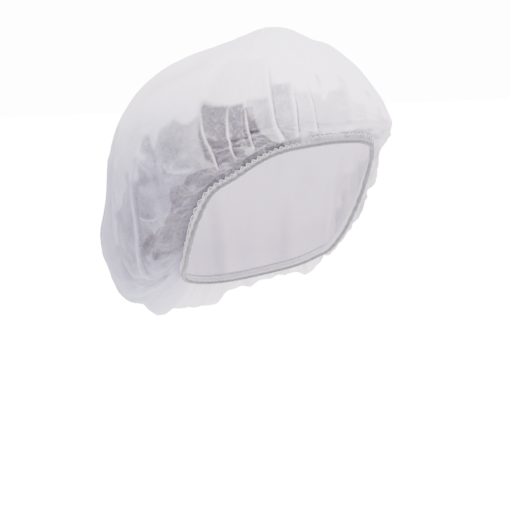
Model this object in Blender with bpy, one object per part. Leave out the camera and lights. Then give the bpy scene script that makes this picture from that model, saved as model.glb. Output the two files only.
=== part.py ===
"""Disposable hair cover cap: a gathered bag of thin white nonwoven cloth, in the form it has when worn.

Metres, +Z up. The wearer faces -Y with the chin a little raised, and the wearer's right side is -X.
The origin is the middle of the head opening. A direction round the cap is a turn in degrees: 0 is
straight ahead, 90 the wearer's right, 180 the back and -90 the wearer's left. A height on the cloth
is a rise: 0 at the hem, BELLY_RISE where the bag is widest and 1 at the middle of the crown.
"""

from types import SimpleNamespace

import bmesh
import bpy
import numpy as np

# Driving dimensions, in metres
OPENING_WIDTH = 0.143      # head opening, ear to ear
OPENING_LENGTH = 0.152     # head opening, forehead to nape, measured level
OPENING_DROP = 0.133       # the forehead edge lies this much above the nape edge
BAG_WIDTH = 0.214          # the bag at its widest, ear to ear
BAG_LENGTH = 0.228         # the bag from front to back
BAG_SETBACK = 0.026        # the bag's middle lies this far behind the opening's
CROWN_HEIGHT = 0.139       # middle of the crown above the origin, before its puffs
CROWN_SETBACK = 0.004      # that middle lies this far behind the origin
CROWN_SHIFT = 0.008        # and this far to the wearer's left
BAG_HANG = 0.030           # the bag's lowest cloth lies this much below the nape edge
CLOTH_WALL = 0.0012        # wall that stands for the cloth
HEM_WIDTH = 0.008          # folded strip, from its edge to its seam
FLAP_WIDTH = 0.004         # inner side of the fold
ELASTIC_WIDTH = 0.005
ELASTIC_THICKNESS = 0.0008
SEAM_GAP = 0.0003          # clearance between pieces that touch
CRIMP_DEPTH = 0.0004       # fine gathers along the hem
GATHER_DEPTH = 0.0012      # soft gathers that rise from the hem
PLEAT_HEIGHT = 0.0030      # how far a narrow pleat stands out
PLEAT_WIDTH = 0.0070
PUFF_HEIGHT = 0.0060       # how far a wide puff stands out

# How the columns and rows of points are laid
COLUMNS = 4 * 33           # points round the cap
CROWDING = 0.40            # columns stand closer round CROWDED_TURN, where the narrow pleats are
CROWDED_TURN = 25.0
LOWER_ROWS = 10            # rows of cloth from the hem to the belly
UPPER_ROWS = 10            # rows of cloth from the belly to the middle of the crown
ROW_CROWDING = 1.15        # rows stand closer at the hem when this is over 1
BELLY_RISE = 0.42
HALVED_RISE = 0.50         # above this every second column goes on
QUARTERED_RISE = 0.86      # and above this every fourth
UNDER_BELLY = 0.55         # share of the way down to the skirt that the bag hangs straight
FREE_RISE = 0.06           # the cloth is free of the hem above this
GATHER_FADE = 0.3          # share of a gather's reach after which it starts to die out
FOLD_CORNER = 0.7          # share of the wall cut off the hem's folded corners
FOLD_TAPER = 0.28          # share of a fold's length over which each end dies out
PATH_LEGS = 8              # straight legs that stand for a fold's path
TURN_STEP = 0.5            # small steps that directions are measured over
RISE_STEP = 0.004
TOP_RISE = 0.99            # directions are measured no nearer to the middle of the crown

# Head opening, all the way round; it sits a little higher on the wearer's left temple. out is a
# share of half the opening's width and length, up a share of half its drop, and lean how far the
# strip's outer face looks up
OPENING_COLUMNS = ("turn", "out", "up", "lean")
OPENING_SECTIONS = (
    (-145.0, 0.920, -0.87, -0.24),
    (-107.0, 0.883, -0.585, -0.06),
    (-92.0, 0.922, -0.41, 0.00),
    (-80.0, 0.995, -0.10, 0.06),
    (-70.0, 1.065, 0.27, 0.14),
    (-60.0, 1.115, 0.64, 0.22),
    (-50.0, 1.130, 0.87, 0.28),
    (-38.0, 1.090, 0.965, 0.31),
    (-22.0, 1.030, 1.00, 0.33),
    (0.0, 1.000, 0.99, 0.34),
    (26.0, 1.014, 0.885, 0.32),
    (44.0, 1.047, 0.665, 0.28),
    (58.0, 1.060, 0.46, 0.22),
    (68.0, 1.049, 0.14, 0.14),
    (80.0, 0.985, -0.20, 0.06),
    (92.0, 0.919, -0.43, 0.00),
    (107.0, 0.883, -0.585, -0.06),
    (145.0, 0.920, -0.87, -0.24),
    (180.0, 1.000, -1.00, -0.34),
)

# Bag, all the way round. belly_out and skirt_out are shares of half the bag's width and length,
# belly_up a share of CROWN_HEIGHT, skirt_drop how far the skirt is pulled down below its seam as a
# share of BAG_HANG; shoulder is 1 where the crown comes over round, less where it is squarer
BAG_COLUMNS = ("turn", "belly_out", "belly_up", "skirt_out", "skirt_drop", "shoulder")
BAG_SECTIONS = (
    (-150.0, 1.00, 0.14, 0.94, 1.87, 1.00),
    (-120.0, 0.98, 0.20, 0.90, 1.80, 1.00),
    (-90.0, 0.945, 0.32, 0.86, 0.77, 1.04),
    (-66.0, 0.945, 0.46, 0.87, 0.50, 1.10),
    (-46.0, 0.985, 0.56, 0.92, 0.20, 1.17),
    (-24.0, 0.985, 0.60, 0.93, -0.05, 1.10),
    (0.0, 0.975, 0.60, 0.94, -0.07, 1.06),
    (30.0, 0.970, 0.56, 0.95, 0.03, 1.04),
    (60.0, 0.970, 0.42, 0.95, 0.43, 1.01),
    (90.0, 0.995, 0.27, 0.95, 1.23, 0.95),
    (120.0, 1.03, 0.15, 1.00, 2.20, 0.95),
    (150.0, 1.02, 0.14, 1.00, 2.95, 1.00),
    (180.0, 1.00, 0.12, 0.94, 2.75, 1.00),
)

# Gathers that rise from the hem. count is how many go round, reach the rise where they die out
GATHER_COLUMNS = ("count", "phase", "depth", "reach")
GATHERS = (
    (33, 20.0, 0.6, 0.20),
    (19, 75.0, 0.8, 0.34),
    (11, 140.0, 0.9, 0.55),
)

# Pleats and creases. Each runs from one turn and rise to another, bowed sideways by some degrees;
# width is a share of PLEAT_WIDTH, and height a share of PLEAT_HEIGHT, below zero for a crease
FOLD_COLUMNS = ("from_turn", "from_rise", "to_turn", "to_rise", "bow", "width", "height")
FOLDS = (
    (46.0, 0.02, 49.0, 0.58, -3.0, 0.90, 0.90),
    (36.0, 0.04, 36.5, 0.55, -0.5, 0.75, 0.75),
    (31.0, 0.02, 30.0, 0.56, 0.0, 0.80, 1.00),
    (16.5, 0.03, 22.0, 0.72, -1.0, 0.85, 1.00),
    (12.5, 0.03, 16.5, 0.62, 0.0, 0.70, 0.80),
    (9.0, 0.03, 13.0, 0.60, 0.0, 0.70, 0.80),
    (0.5, 0.03, 5.0, 0.60, 0.0, 0.75, 0.80),
    (-8.0, 0.02, -5.0, 0.36, 0.0, 1.20, 0.50),
    (-19.0, 0.02, -17.0, 0.42, 1.0, 1.40, 0.60),
    (-31.0, 0.02, -29.0, 0.40, -1.0, 1.30, 0.70),
    (23.5, 0.04, 27.5, 0.52, 1.0, 1.40, -1.10),
    (39.0, 0.16, 42.5, 0.54, 0.5, 1.90, -0.90),
    (33.5, 0.10, 33.5, 0.50, 0.0, 0.90, -0.60),
    (4.5, 0.08, 9.0, 0.50, 0.0, 1.10, -0.50),
    (79.0, 0.42, 96.0, 0.04, -7.0, 1.30, 1.10),
    (73.0, 0.24, 83.0, 0.04, -1.0, 1.90, -1.20),
    (77.0, 0.30, 69.0, 0.21, 0.0, 0.90, 0.80),
    (61.0, 0.40, 47.0, 0.24, 2.0, 0.80, 0.60),
    (77.0, 0.47, 65.0, 0.37, -2.0, 1.60, 0.80),
    (75.0, 0.39, 60.0, 0.32, 3.0, 1.40, 0.70),
    (107.0, 0.18, 102.0, 0.60, 0.0, 2.60, -1.30),
    (118.0, 0.05, 121.0, 0.44, 3.0, 2.20, 1.00),
    (134.0, 0.03, 130.0, 0.50, -3.0, 2.40, -1.20),
    (148.0, 0.03, 153.0, 0.56, 2.0, 2.20, 0.70),
    (163.0, 0.03, 160.0, 0.40, 1.0, 1.90, -0.50),
    (176.0, 0.03, 182.0, 0.60, -2.0, 2.40, 1.20),
    (-168.0, 0.04, -170.0, 0.44, 2.0, 2.00, -1.10),
    (-152.0, 0.03, -157.0, 0.52, -3.0, 2.20, 1.20),
    (-138.0, 0.03, -134.0, 0.40, 2.0, 1.80, -0.90),
    (-121.0, 0.03, -126.0, 0.58, 3.0, 2.30, 1.10),
    (-104.0, 0.03, -101.0, 0.46, -2.0, 1.70, -1.00),
    (-90.0, 0.03, -94.0, 0.52, 2.0, 1.60, 1.10),
    (-76.0, 0.04, -72.0, 0.44, 0.0, 1.20, -0.90),
    (-66.0, 0.03, -70.0, 0.56, -2.0, 1.10, 1.00),
    (-55.0, 0.03, -52.0, 0.46, 1.0, 1.20, 0.80),
    (-43.0, 0.03, -46.0, 0.52, 1.0, 1.10, 0.90),
    (10.0, 0.90, 66.0, 0.62, -8.0, 4.50, 0.90),
    (-24.0, 0.84, -66.0, 0.64, 6.0, 4.00, 0.80),
    (150.0, 0.86, 118.0, 0.62, 8.0, 4.50, 0.90),
    (-110.0, 0.84, -146.0, 0.64, -6.0, 4.50, -0.80),
    (56.0, 0.78, 96.0, 0.62, 4.0, 4.00, -0.80),
)

# Wide puffs, and hollows where height is below zero. spread is a share of BAG_WIDTH
PUFF_COLUMNS = ("turn", "rise", "spread", "height")
PUFFS = (
    (12.0, 0.93, 0.11, 1.2),
    (95.0, 0.83, 0.12, -0.9),
    (-50.0, 0.80, 0.07, 0.3),
    (-18.0, 0.79, 0.10, 0.3),
    (122.0, 0.33, 0.14, 1.1),
    (70.0, 0.55, 0.14, 0.5),
    (168.0, 0.50, 0.18, 0.6),
    (-135.0, 0.42, 0.17, 0.8),
    (-82.0, 0.50, 0.15, 0.5),
)


def named_rows(columns, table):
    """Each row of a table with its values under the names of its columns."""
    return [SimpleNamespace(**dict(zip(columns, row))) for row in table]


def interpolate(columns, sections, turn):
    """Smooth values between the sections of a table that goes all the way round, by column name."""
    table = np.array(sections, dtype=float)
    full_turn = np.array([360.0] + [0.0] * (table.shape[1] - 1))
    table = np.vstack([table[-2:] - full_turn, table, table[:2] + full_turn])
    stations = table[:, 0]
    slopes = np.gradient(table[:, 1:], stations, axis=0)
    turn = 180.0 - (180.0 - np.asarray(turn, dtype=float)) % 360.0
    index = np.clip(np.searchsorted(stations, turn, side="right") - 1, 0, len(stations) - 2)
    span = (stations[index + 1] - stations[index])[..., None]
    t = (turn - stations[index])[..., None] / span
    value = (2 * t**3 - 3 * t**2 + 1) * table[index, 1:] + (t**3 - 2 * t**2 + t) * span * slopes[index]
    value += (3 * t**2 - 2 * t**3) * table[index + 1, 1:] + (t**3 - t**2) * span * slopes[index + 1]
    return SimpleNamespace(**dict(zip(columns[1:], np.moveaxis(value, -1, 0))))


def smooth_step(low, high, value):
    """0 below low, 1 above high and a soft rise between them."""
    share = np.clip((value - low) / (high - low), 0.0, 1.0)
    return share * share * (3.0 - 2.0 * share)


def unit(vectors):
    """The same directions, each of length 1."""
    return vectors / np.linalg.norm(vectors, axis=-1, keepdims=True)


def ring_point(turn, out, width, length, up):
    """Points at a turn and a share out on a level oval ring, at the height up."""
    angle = np.radians(turn)
    across = -out * width / 2.0 * np.sin(angle)
    along = -out * length / 2.0 * np.cos(angle)
    return np.stack([across, along, up + 0.0 * across], axis=-1)


def opening_edge(turn):
    """The lower edge of the hem, where the cap grips its wearer."""
    edge = interpolate(OPENING_COLUMNS, OPENING_SECTIONS, turn)
    return ring_point(turn, edge.out, OPENING_WIDTH, OPENING_LENGTH, edge.up * OPENING_DROP / 2.0)


def hem_frame(turn):
    """Edge point, outward direction and the direction up along the strip, at each turn."""
    along = unit(opening_edge(turn + TURN_STEP) - opening_edge(turn - TURN_STEP))
    lean = interpolate(OPENING_COLUMNS, OPENING_SECTIONS, turn).lean
    outward = unit(np.stack([-along[..., 1], along[..., 0], 0.0 * lean], axis=-1))
    outward[..., 2] += lean
    outward = unit(outward - along * np.sum(outward * along, axis=-1, keepdims=True))
    return opening_edge(turn), outward, np.cross(along, outward)


def bag(turn, rise):
    """The smooth bag without its folds: a bent skirt from hem to belly, then a domed crown."""
    turn, rise = np.broadcast_arrays(np.asarray(turn, dtype=float), np.asarray(rise, dtype=float))
    section = interpolate(BAG_COLUMNS, BAG_SECTIONS, turn)
    edge, _, strip = hem_frame(turn)
    seam = edge + strip * (HEM_WIDTH + SEAM_GAP)
    setback = np.array([0.0, BAG_SETBACK, 0.0])
    belly = setback + ring_point(turn, section.belly_out, BAG_WIDTH, BAG_LENGTH,
                                 section.belly_up * CROWN_HEIGHT)
    skirt = setback + ring_point(turn, section.skirt_out, BAG_WIDTH, BAG_LENGTH,
                                 seam[..., 2] - section.skirt_drop * BAG_HANG)
    under_belly = belly.copy()
    under_belly[..., 2] += UNDER_BELLY * (skirt[..., 2] - belly[..., 2])

    t = np.clip(rise / BELLY_RISE, 0.0, 1.0)[..., None]
    lower = (1 - t) ** 3 * seam + 3 * (1 - t) ** 2 * t * skirt
    lower = lower + 3 * (1 - t) * t**2 * under_belly + t**3 * belly

    angle = np.clip((rise - BELLY_RISE) / (1.0 - BELLY_RISE), 0.0, 1.0) * np.pi / 2.0
    inward = np.cos(angle).clip(0.0, 1.0) ** section.shoulder
    upward = np.sin(angle) ** section.shoulder
    top = np.array([CROWN_SHIFT, CROWN_SETBACK, CROWN_HEIGHT])
    upper = top + (belly - top) * np.stack([inward, inward, 1.0 - upward], axis=-1)
    return np.where((rise < BELLY_RISE)[..., None], lower, upper)


def outward_normal(turn, rise):
    """Outward directions of the smooth bag."""
    middle = np.clip(rise, RISE_STEP, TOP_RISE)
    along = bag(turn + TURN_STEP, middle) - bag(turn - TURN_STEP, middle)
    climb = bag(turn, middle + RISE_STEP) - bag(turn, middle - RISE_STEP)
    return unit(np.cross(climb, along))


def gathers(turn, rise):
    """Height of the soft gathers that start at the hem and die out up the bag."""
    total = np.zeros_like(rise)
    for wave in named_rows(GATHER_COLUMNS, GATHERS):
        fade = 1.0 - smooth_step(GATHER_FADE * wave.reach, wave.reach, rise)
        total += wave.depth * np.cos(np.radians(turn * wave.count + wave.phase)) * fade
    return total * GATHER_DEPTH


def folds(points):
    """Height of the pleats and creases: a round ridge or groove along each path over the cloth."""
    total = np.zeros(points.shape[:-1])
    share = np.linspace(0.0, 1.0, PATH_LEGS + 1)
    for fold in named_rows(FOLD_COLUMNS, FOLDS):
        turn = fold.from_turn + (fold.to_turn - fold.from_turn) * share
        rise = fold.from_rise + (fold.to_rise - fold.from_rise) * share
        path = bag(turn + fold.bow * np.sin(np.pi * share), rise)
        nearest = np.full(points.shape[:-1], np.inf)
        place = np.zeros(points.shape[:-1])
        for leg in range(PATH_LEGS):
            run = path[leg + 1] - path[leg]
            t = np.clip(((points - path[leg]) @ run) / (run @ run), 0.0, 1.0)
            away = np.linalg.norm(points - path[leg] - t[..., None] * run, axis=-1)
            place = np.where(away < nearest, (leg + t) / PATH_LEGS, place)
            nearest = np.minimum(nearest, away)
        taper = smooth_step(0.0, FOLD_TAPER, place) * smooth_step(0.0, FOLD_TAPER, 1.0 - place)
        profile = np.exp(-((nearest / (fold.width * PLEAT_WIDTH / 2.0)) ** 2))
        total += fold.height * taper * profile
    return total * PLEAT_HEIGHT


def puffs(points):
    """Height of the wide soft puffs and hollows."""
    total = np.zeros(points.shape[:-1])
    for puff in named_rows(PUFF_COLUMNS, PUFFS):
        away = np.linalg.norm(points - bag(puff.turn, puff.rise), axis=-1)
        total += puff.height * np.exp(-((away / (puff.spread * BAG_WIDTH)) ** 2))
    return total * PUFF_HEIGHT


def cloth(turn, rise):
    """The outer face of the bag with its gathers, folds and puffs, which start just above the hem."""
    turn, rise = np.broadcast_arrays(np.asarray(turn, dtype=float), np.asarray(rise, dtype=float))
    smooth = bag(turn, rise)
    relief = gathers(turn, rise) + folds(smooth) + puffs(smooth)
    relief = relief * smooth_step(0.0, FREE_RISE, rise)
    return smooth + outward_normal(turn, rise) * relief[..., None]


def column_turns():
    """Turn of each column of points, closer together where the narrow pleats are."""
    even = np.arange(COLUMNS) * 360.0 / COLUMNS
    return even - np.degrees(CROWDING * np.sin(np.radians(even - CROWDED_TURN)))


def crimped(turns, outward):
    """The fine in-and-out of the gathered edge, column by column."""
    side = np.where(np.arange(len(turns)) % 2 == 0, 1.0, -1.0)
    return outward * CRIMP_DEPTH * side[:, None]


def new_object(name, points, faces, material):
    """A mesh object at the origin, smooth shaded, with its faces turned outwards."""
    mesh = bpy.data.meshes.new(name)
    mesh.from_pydata([tuple(point) for point in points], [], faces)
    shape = bmesh.new()
    shape.from_mesh(mesh)
    bmesh.ops.recalc_face_normals(shape, faces=shape.faces)
    shape.to_mesh(mesh)
    shape.free()
    mesh.materials.append(material)
    mesh.shade_smooth()
    thing = bpy.data.objects.new(name, mesh)
    bpy.context.scene.collection.objects.link(thing)
    return thing


def new_material(name, colour, roughness):
    """A plain material of one colour."""
    material = bpy.data.materials.new(name)
    material.use_nodes = True
    shader = material.node_tree.nodes["Principled BSDF"]
    shader.inputs["Base Color"].default_value = (*colour, 1.0)
    shader.inputs["Roughness"].default_value = roughness
    shader.inputs["Metallic"].default_value = 0.0
    return material


def join_rings(lower, upper):
    """Faces between two closed rings of point numbers, the upper as many as the lower or half."""
    faces = []
    for k, here in enumerate(upper):
        there = upper[(k + 1) % len(upper)]
        if len(lower) == len(upper):
            faces.append((lower[k], lower[(k + 1) % len(lower)], there, here))
        else:
            first, middle, last = (lower[(2 * k + j) % len(lower)] for j in range(3))
            faces.append((first, middle, here))
            faces.append((middle, there, here))
            faces.append((middle, last, there))
    return faces


def crown_rings():
    """Rows of points up the bag. Every second column ends at HALVED_RISE and again higher up."""
    turns = column_turns()
    lower = BELLY_RISE * (np.arange(LOWER_ROWS + 1) / LOWER_ROWS) ** ROW_CROWDING
    upper = BELLY_RISE + (1.0 - BELLY_RISE) * np.arange(1, UPPER_ROWS) / UPPER_ROWS
    rings = []
    for rise in (*lower, *upper):
        kept = 4 if rise > QUARTERED_RISE else 2 if rise > HALVED_RISE else 1
        rings.append(cloth(turns[::kept], rise))
    rings[0] += crimped(turns, hem_frame(turns)[1])
    return rings


def build_crown(material):
    """The bag as one open sheet, made a wall by Solidify."""
    points = []
    numbers = []
    for ring in crown_rings():
        numbers.append(list(range(len(points), len(points) + len(ring))))
        points.extend(ring)
    faces = []
    for below, above in zip(numbers[:-1], numbers[1:]):
        faces.extend(join_rings(below, above))
    last = numbers[-1]
    middle = len(points)
    points.append(cloth(0.0, 1.0))
    for k, number in enumerate(last):
        faces.append((number, last[(k + 1) % len(last)], middle))
    crown = new_object("crown", points, faces, material)
    wall = crown.modifiers.new("cloth wall", "SOLIDIFY")
    wall.thickness = CLOTH_WALL
    wall.offset = -1.0
    return crown


def build_strip(name, profile, material):
    """A closed strip round the opening. The profile's points are (outward, up along the strip)."""
    turns = column_turns()
    edge, outward, strip = hem_frame(turns)
    edge = edge + crimped(turns, outward)
    points = []
    for out, up in profile:
        points.extend(edge + outward * out + strip * up)
    numbers = [list(range(k * COLUMNS, (k + 1) * COLUMNS)) for k in range(len(profile))]
    faces = []
    for below, above in zip(numbers, numbers[1:] + numbers[:1]):
        faces.extend(join_rings(below, above))
    return new_object(name, points, faces, material)


def build_hem(material):
    """The folded strip: an outer side, a rounded fold and a shorter inner side round a slot."""
    depth = ELASTIC_THICKNESS + 2 * SEAM_GAP + 2 * CLOTH_WALL
    corner = FOLD_CORNER * CLOTH_WALL
    profile = (
        (0.0, HEM_WIDTH),
        (0.0, corner),
        (-corner, 0.0),
        (corner - depth, 0.0),
        (-depth, corner),
        (-depth, FLAP_WIDTH),
        (CLOTH_WALL - depth, FLAP_WIDTH),
        (CLOTH_WALL - depth, CLOTH_WALL),
        (-CLOTH_WALL, CLOTH_WALL),
        (-CLOTH_WALL, HEM_WIDTH),
    )
    return build_strip("hem_casing", profile, material)


def build_elastic(material):
    """The flat elastic, in the fold with a small gap all round."""
    near = -(CLOTH_WALL + SEAM_GAP)
    far = near - ELASTIC_THICKNESS
    low = CLOTH_WALL + SEAM_GAP
    high = low + ELASTIC_WIDTH
    profile = ((near, high), (near, low), (far, low), (far, high))
    return build_strip("elastic_band", profile, material)


def main():
    """Clear the scene and build the three pieces."""
    for thing in list(bpy.data.objects):
        bpy.data.objects.remove(thing, do_unlink=True)
    build_crown(new_material("white nonwoven", (0.84, 0.83, 0.86), 0.75))
    build_hem(new_material("folded nonwoven", (0.80, 0.79, 0.82), 0.75))
    build_elastic(new_material("white elastic", (0.74, 0.73, 0.75), 0.6))


main()
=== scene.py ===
"""Looks of a disposable hair cover cap: thin white nonwoven cloth, gathered on an elastic hem.

Metres, +Z up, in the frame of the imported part, with the front at -Y. A direction round the cap is a
turn in degrees: 0 at the front, 90 at the side that is -X, 180 at the back. A height on the cloth is
a rise: 0 at the hem's seam, belly_rise where the bag is widest and 1 at the middle of the crown.
"""

import logging
from dataclasses import dataclass, fields
from enum import Enum
from itertools import product
from typing import Any, Sequence

import bpy
import numpy as np
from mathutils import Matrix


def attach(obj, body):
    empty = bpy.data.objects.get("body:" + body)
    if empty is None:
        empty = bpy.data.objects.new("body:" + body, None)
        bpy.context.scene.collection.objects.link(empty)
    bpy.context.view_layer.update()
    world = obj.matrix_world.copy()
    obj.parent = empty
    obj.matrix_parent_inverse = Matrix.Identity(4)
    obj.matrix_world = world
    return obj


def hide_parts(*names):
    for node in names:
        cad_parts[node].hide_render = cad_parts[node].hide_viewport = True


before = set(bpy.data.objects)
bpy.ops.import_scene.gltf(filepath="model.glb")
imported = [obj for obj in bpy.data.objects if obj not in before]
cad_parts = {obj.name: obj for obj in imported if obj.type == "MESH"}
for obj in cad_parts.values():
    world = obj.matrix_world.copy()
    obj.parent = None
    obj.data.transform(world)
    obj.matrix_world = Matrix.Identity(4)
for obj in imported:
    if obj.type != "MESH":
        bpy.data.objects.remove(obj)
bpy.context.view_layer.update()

LOG = logging.getLogger("hair_cover")

Array = np.ndarray
Triple = tuple[float, float, float]
Colour = Triple
Span = tuple[float, float]
Edges = tuple[float, float, float, float]


class FoldKind(Enum):
    """How a fold stands on the cloth."""

    SOFT = "round ridge or hollow"
    PLEAT = "sharp crest that leans over"


@dataclass(frozen=True)
class OpeningSection:
    """The opening at one turn; out and up are shares of its sizes, and lean tips the hem outwards."""

    turn: float
    out: float
    up: float
    lean: float


@dataclass(frozen=True)
class BagSection:
    """The bag at one turn, in shares of the bag's sizes."""

    turn: float
    belly_out: float
    belly_up: float
    skirt_out: float
    skirt_drop: float
    shoulder: float


@dataclass(frozen=True)
class Gather:
    """A wave of soft gathers: how many go round, and the rise where they die out."""

    count: int
    phase: float
    depth: float
    reach: float


@dataclass(frozen=True)
class Fold:
    """A fold from one turn and rise to another; width and height are shares."""

    from_turn: float
    from_rise: float
    to_turn: float
    to_rise: float
    bow: float
    width: float
    height: float
    kind: FoldKind = FoldKind.SOFT


@dataclass(frozen=True)
class Puff:
    """A wide puff, or a hollow where height is below zero; spread is a share of the bag's width."""

    turn: float
    rise: float
    spread: float
    height: float


@dataclass(frozen=True)
class Patch:
    """A patch of painted shade, darker where the cloth would lie close on the head, between two turns and
    two rises.

    Its upper edge is higher by tilt at the second turn than at the first. At the hem its borders
    lie at smaller turns by lean, and the first of them by spread more.
    """

    from_turn: float
    to_turn: float
    from_rise: float
    to_rise: float
    # How dark the painted shade is, up to 1.
    depth: float
    tilt: float = 0.0
    lean: float = 0.0
    spread: float = 0.0


OPENING_SECTIONS = tuple(OpeningSection(*row) for row in (
    (-145.0, 0.920, -0.87, -0.24),
    (-107.0, 0.883, -0.585, -0.06),
    (-92.0, 0.922, -0.41, 0.00),
    (-80.0, 0.995, -0.10, 0.06),
    (-70.0, 1.065, 0.27, 0.14),
    (-60.0, 1.115, 0.64, 0.22),
    (-50.0, 1.130, 0.87, 0.28),
    (-38.0, 1.090, 0.965, 0.31),
    (-22.0, 1.030, 1.00, 0.33),
    (0.0, 1.000, 0.99, 0.34),
    (26.0, 1.014, 0.885, 0.32),
    (44.0, 1.047, 0.665, 0.28),
    (58.0, 1.060, 0.46, 0.22),
    (68.0, 1.049, 0.14, 0.14),
    (80.0, 0.985, -0.20, 0.06),
    (92.0, 0.919, -0.43, 0.00),
    (107.0, 0.883, -0.585, -0.06),
    (145.0, 0.920, -0.87, -0.24),
    (180.0, 1.000, -1.00, -0.34),
))

BAG_SECTIONS = tuple(BagSection(*row) for row in (
    (-150.0, 1.00, 0.14, 0.94, 1.87, 1.00),
    (-120.0, 0.98, 0.20, 0.90, 1.80, 1.00),
    (-90.0, 0.945, 0.32, 0.86, 0.77, 1.04),
    (-66.0, 0.945, 0.46, 0.87, 0.50, 1.10),
    (-46.0, 0.985, 0.56, 0.92, 0.20, 1.17),
    (-24.0, 0.985, 0.60, 0.93, -0.05, 1.10),
    (0.0, 0.975, 0.60, 0.94, -0.07, 1.06),
    (30.0, 0.970, 0.56, 0.95, 0.03, 1.04),
    (60.0, 0.970, 0.42, 0.95, 0.43, 1.01),
    (90.0, 0.995, 0.27, 0.95, 1.23, 0.95),
    (120.0, 1.03, 0.15, 1.00, 2.20, 0.95),
    (150.0, 1.02, 0.14, 1.00, 2.95, 1.00),
    (180.0, 1.00, 0.12, 0.94, 2.75, 1.00),
))

GATHERS = tuple(Gather(*row) for row in (
    (33, 20.0, 0.6, 0.20),
    (19, 75.0, 0.8, 0.34),
    (11, 140.0, 0.9, 0.55),
))

FOLDS = tuple(Fold(*row) for row in (
    (43.5, 0.05, 49.0, 0.58, -4.2, 0.46, 0.95, FoldKind.PLEAT),
    (35.5, 0.05, 37.0, 0.55, -1.3, 0.32, 0.55, FoldKind.PLEAT),
    (28.0, 0.05, 30.5, 0.57, -1.3, 0.44, 0.95, FoldKind.PLEAT),
    (14.8, 0.05, 24.1, 0.74, -0.5, 0.66, 0.95, FoldKind.PLEAT),
    (9.7, 0.05, 12.4, 0.64, 0.0, 0.60, 0.85, FoldKind.PLEAT),
    (0.8, 0.05, 6.0, 0.64, 0.0, 0.48, 0.70, FoldKind.PLEAT),
    (-8.0, 0.02, -5.0, 0.36, 0.0, 1.20, 0.25),
    (-19.0, 0.02, -17.0, 0.42, 1.0, 1.40, 0.30),
    (-31.0, 0.02, -29.0, 0.40, -1.0, 1.30, 0.40),
    (23.5, 0.04, 27.5, 0.52, 1.0, 1.40, -1.10),
    (40.0, 0.10, 42.5, 0.54, 0.5, 1.90, -0.60),
    (33.5, 0.10, 33.5, 0.50, 0.0, 0.90, -0.60),
    (4.5, 0.08, 9.0, 0.50, 0.0, 1.10, -0.50),
    (96.0, 0.06, 79.0, 0.44, -7.0, 0.80, 1.00, FoldKind.PLEAT),
    (73.0, 0.24, 83.0, 0.04, -1.0, 1.90, -1.20),
    (78.0, 0.31, 67.0, 0.20, 0.0, 0.45, 0.90, FoldKind.PLEAT),
    (62.0, 0.41, 48.0, 0.25, 2.0, 0.40, 0.80, FoldKind.PLEAT),
    (77.0, 0.47, 65.0, 0.37, -2.0, 1.60, 0.80),
    (75.0, 0.39, 60.0, 0.32, 3.0, 1.40, 0.70),
    (107.0, 0.18, 102.0, 0.60, 0.0, 2.60, -1.30),
    (118.0, 0.05, 121.0, 0.44, 3.0, 2.20, 1.00),
    (134.0, 0.03, 130.0, 0.50, -3.0, 2.40, -1.20),
    (148.0, 0.03, 153.0, 0.56, 2.0, 2.20, 0.70),
    (163.0, 0.03, 160.0, 0.40, 1.0, 1.90, -0.50),
    (176.0, 0.03, 182.0, 0.60, -2.0, 2.40, 1.20),
    (-168.0, 0.04, -170.0, 0.44, 2.0, 2.00, -1.10),
    (-152.0, 0.03, -157.0, 0.52, -3.0, 2.20, 1.20),
    (-138.0, 0.03, -134.0, 0.40, 2.0, 1.80, -0.90),
    (-121.0, 0.03, -126.0, 0.58, 3.0, 2.30, 1.10),
    (-104.0, 0.03, -101.0, 0.46, -2.0, 1.70, -1.00),
    (-90.0, 0.03, -94.0, 0.52, 2.0, 1.60, 1.10),
    (-76.0, 0.04, -72.0, 0.44, 0.0, 1.20, -0.90),
    (-66.0, 0.03, -70.0, 0.56, -2.0, 1.10, 1.00),
    (-55.0, 0.03, -52.0, 0.46, 1.0, 1.20, 0.80),
    (-43.0, 0.03, -46.0, 0.52, 1.0, 1.10, 0.90),
    (10.0, 0.90, 66.0, 0.62, -8.0, 4.50, 0.90),
    (-24.0, 0.84, -66.0, 0.64, 6.0, 4.00, 0.80),
    (150.0, 0.86, 118.0, 0.62, 8.0, 4.50, 0.90),
    (-110.0, 0.84, -146.0, 0.64, -6.0, 4.50, -0.80),
    (56.0, 0.78, 96.0, 0.62, 4.0, 4.00, -0.80),
))

PUFFS = tuple(Puff(*row) for row in (
    (12.0, 0.93, 0.11, 1.2),
    (95.0, 0.83, 0.12, -0.9),
    (-50.0, 0.80, 0.07, 0.3),
    (-18.0, 0.79, 0.10, 0.3),
    (122.0, 0.33, 0.14, 1.1),
    (70.0, 0.55, 0.14, 0.5),
    (168.0, 0.50, 0.18, 0.6),
    (-135.0, 0.42, 0.17, 0.8),
    (-82.0, 0.50, 0.15, 0.5),
))

# Patches of painted shade, a row each: from and to turn, from and to rise, depth of shade, tilt, lean and
# spread.
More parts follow.
